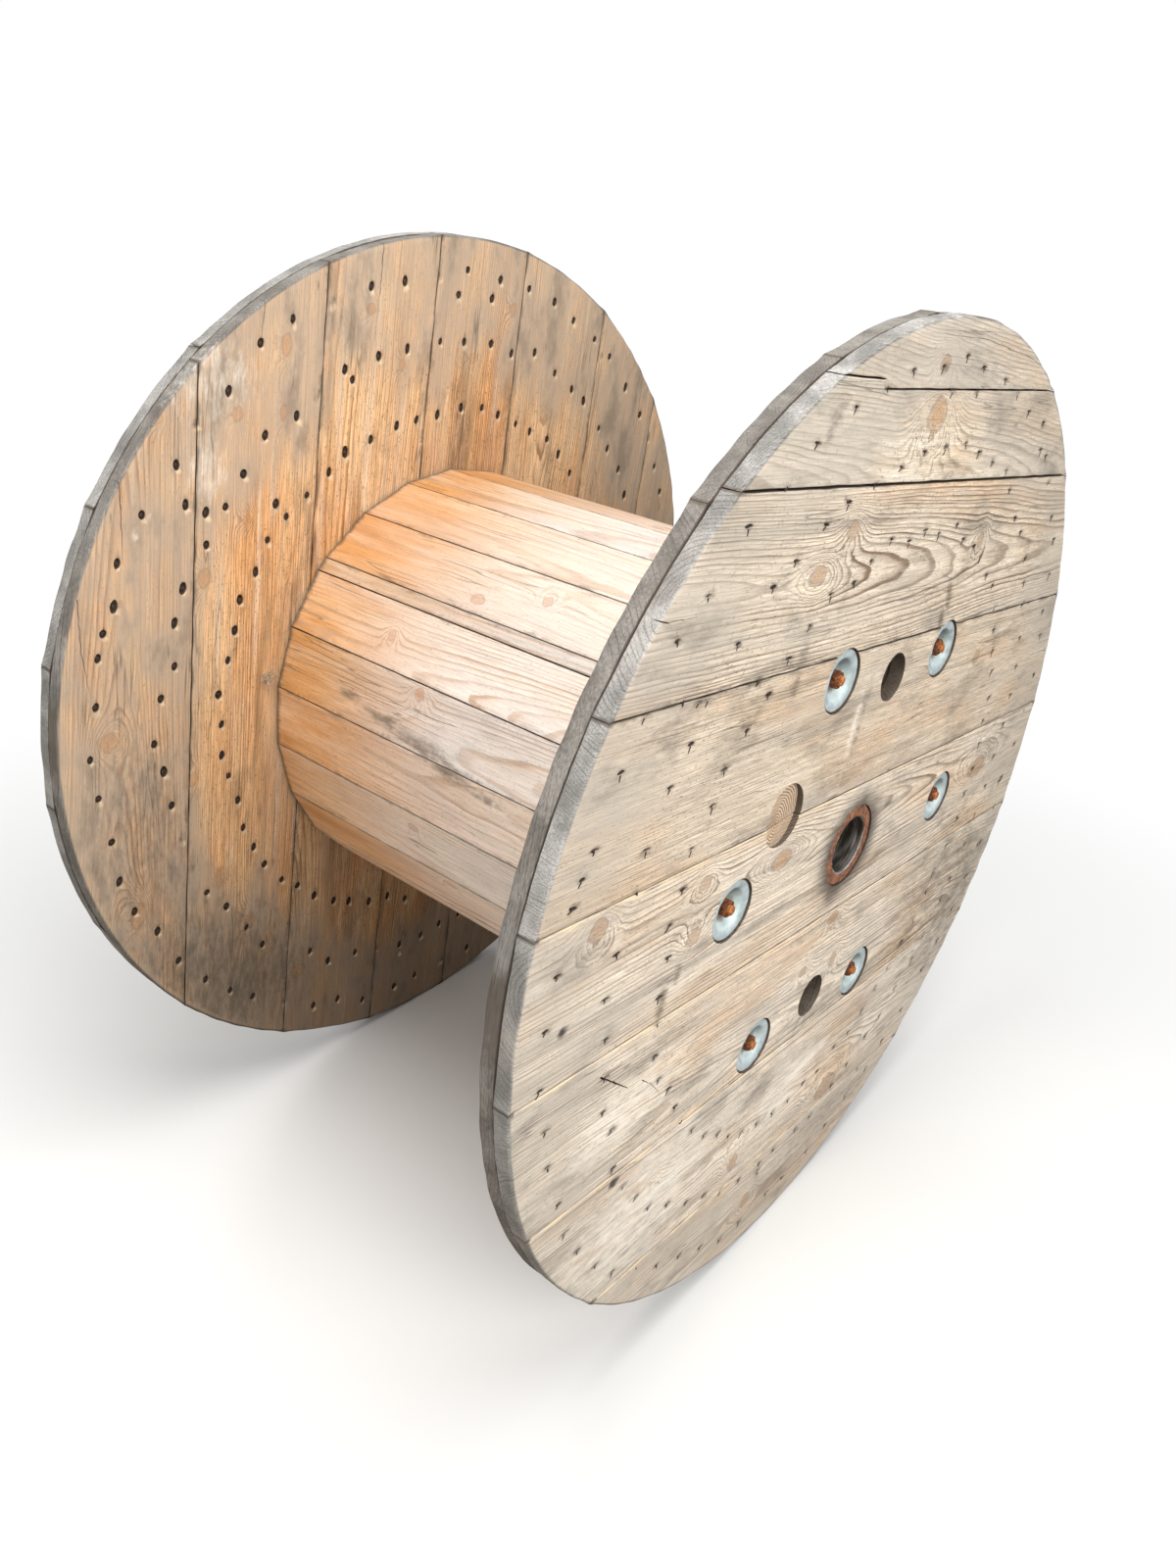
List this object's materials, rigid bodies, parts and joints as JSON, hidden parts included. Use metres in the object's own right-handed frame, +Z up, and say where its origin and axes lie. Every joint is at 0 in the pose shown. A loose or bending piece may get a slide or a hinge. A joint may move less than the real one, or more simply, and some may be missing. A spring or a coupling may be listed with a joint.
{
  "type": "wooden cable drum",
  "caption": "Wooden cable drum: two round flanges of crossed planks, a barrel of staves, tie rods with dished washers, and a steel spindle bush at each end.",
  "frame": {"origin": "the drum's centre, on the spindle axis half way between the flanges", "axes": "+Y along the spindle axis from the front flange to the rear flange, +Z up; the drum lies on the rims of both flanges"},
  "size_m": [1.4, 0.864, 1.4],
  "materials": {
    "weathered_planks": "sawn, weathered grey",
    "inner_planks": "sawn, warm and partly greyed",
    "barrel_staves": "planed, pale",
    "former_wood": "sawn",
    "rusted_steel": "rough, rusted",
    "galvanised_steel": "galvanised, dull",
    "rusted_fasteners": "rusted"
  },
  "bodies": {
    "root": {"barrel_filler_stave": "barrel_staves", "barrel_stave_1": "barrel_staves", "barrel_stave_10": "barrel_staves", "barrel_stave_11": "barrel_staves", "barrel_stave_12": "barrel_staves", "barrel_stave_13": "barrel_staves", "barrel_stave_14": "barrel_staves", "barrel_stave_15": "barrel_staves", "barrel_stave_16": "barrel_staves", "barrel_stave_17": "barrel_staves", "barrel_stave_18": "barrel_staves", "barrel_stave_19": "barrel_staves", "barrel_stave_2": "barrel_staves", "barrel_stave_20": "barrel_staves", "barrel_stave_21": "barrel_staves", "barrel_stave_22": "barrel_staves", "barrel_stave_23": "barrel_staves", "barrel_stave_3": "barrel_staves", "barrel_stave_4": "barrel_staves", "barrel_stave_5": "barrel_staves", "barrel_stave_6": "barrel_staves", "barrel_stave_7": "barrel_staves", "barrel_stave_8": "barrel_staves", "barrel_stave_9": "barrel_staves", "former_segments": "former_wood", "front_bush": "rusted_steel", "front_inner_plank_1": "inner_planks", "front_inner_plank_2": "inner_planks", "front_inner_plank_3": "inner_planks", "front_inner_plank_4": "inner_planks", "front_inner_plank_5": "inner_planks", "front_inner_plank_6": "inner_planks", "front_inner_plank_7": "inner_planks", "front_outer_plank_1": "weathered_planks", "front_outer_plank_2": "weathered_planks", "front_outer_plank_3": "weathered_planks", "front_outer_plank_4": "weathered_planks", "front_outer_plank_5": "weathered_planks", "front_outer_plank_6": "weathered_planks", "front_outer_plank_7": "weathered_planks", "front_outer_plank_8": "weathered_planks", "nuts": "rusted_fasteners", "rear_bush": "rusted_steel", "rear_inner_plank_1": "inner_planks", "rear_inner_plank_2": "inner_planks", "rear_inner_plank_3": "inner_planks", "rear_inner_plank_4": "inner_planks", "rear_inner_plank_5": "inner_planks", "rear_inner_plank_6": "inner_planks", "rear_inner_plank_7": "inner_planks", "rear_outer_plank_1": "weathered_planks", "rear_outer_plank_2": "weathered_planks", "rear_outer_plank_3": "weathered_planks", "rear_outer_plank_4": "weathered_planks", "rear_outer_plank_5": "weathered_planks", "rear_outer_plank_6": "weathered_planks", "rear_outer_plank_7": "weathered_planks", "tie_rods": "rusted_fasteners", "washers": "galvanised_steel"}
  },
  "joints": []
}
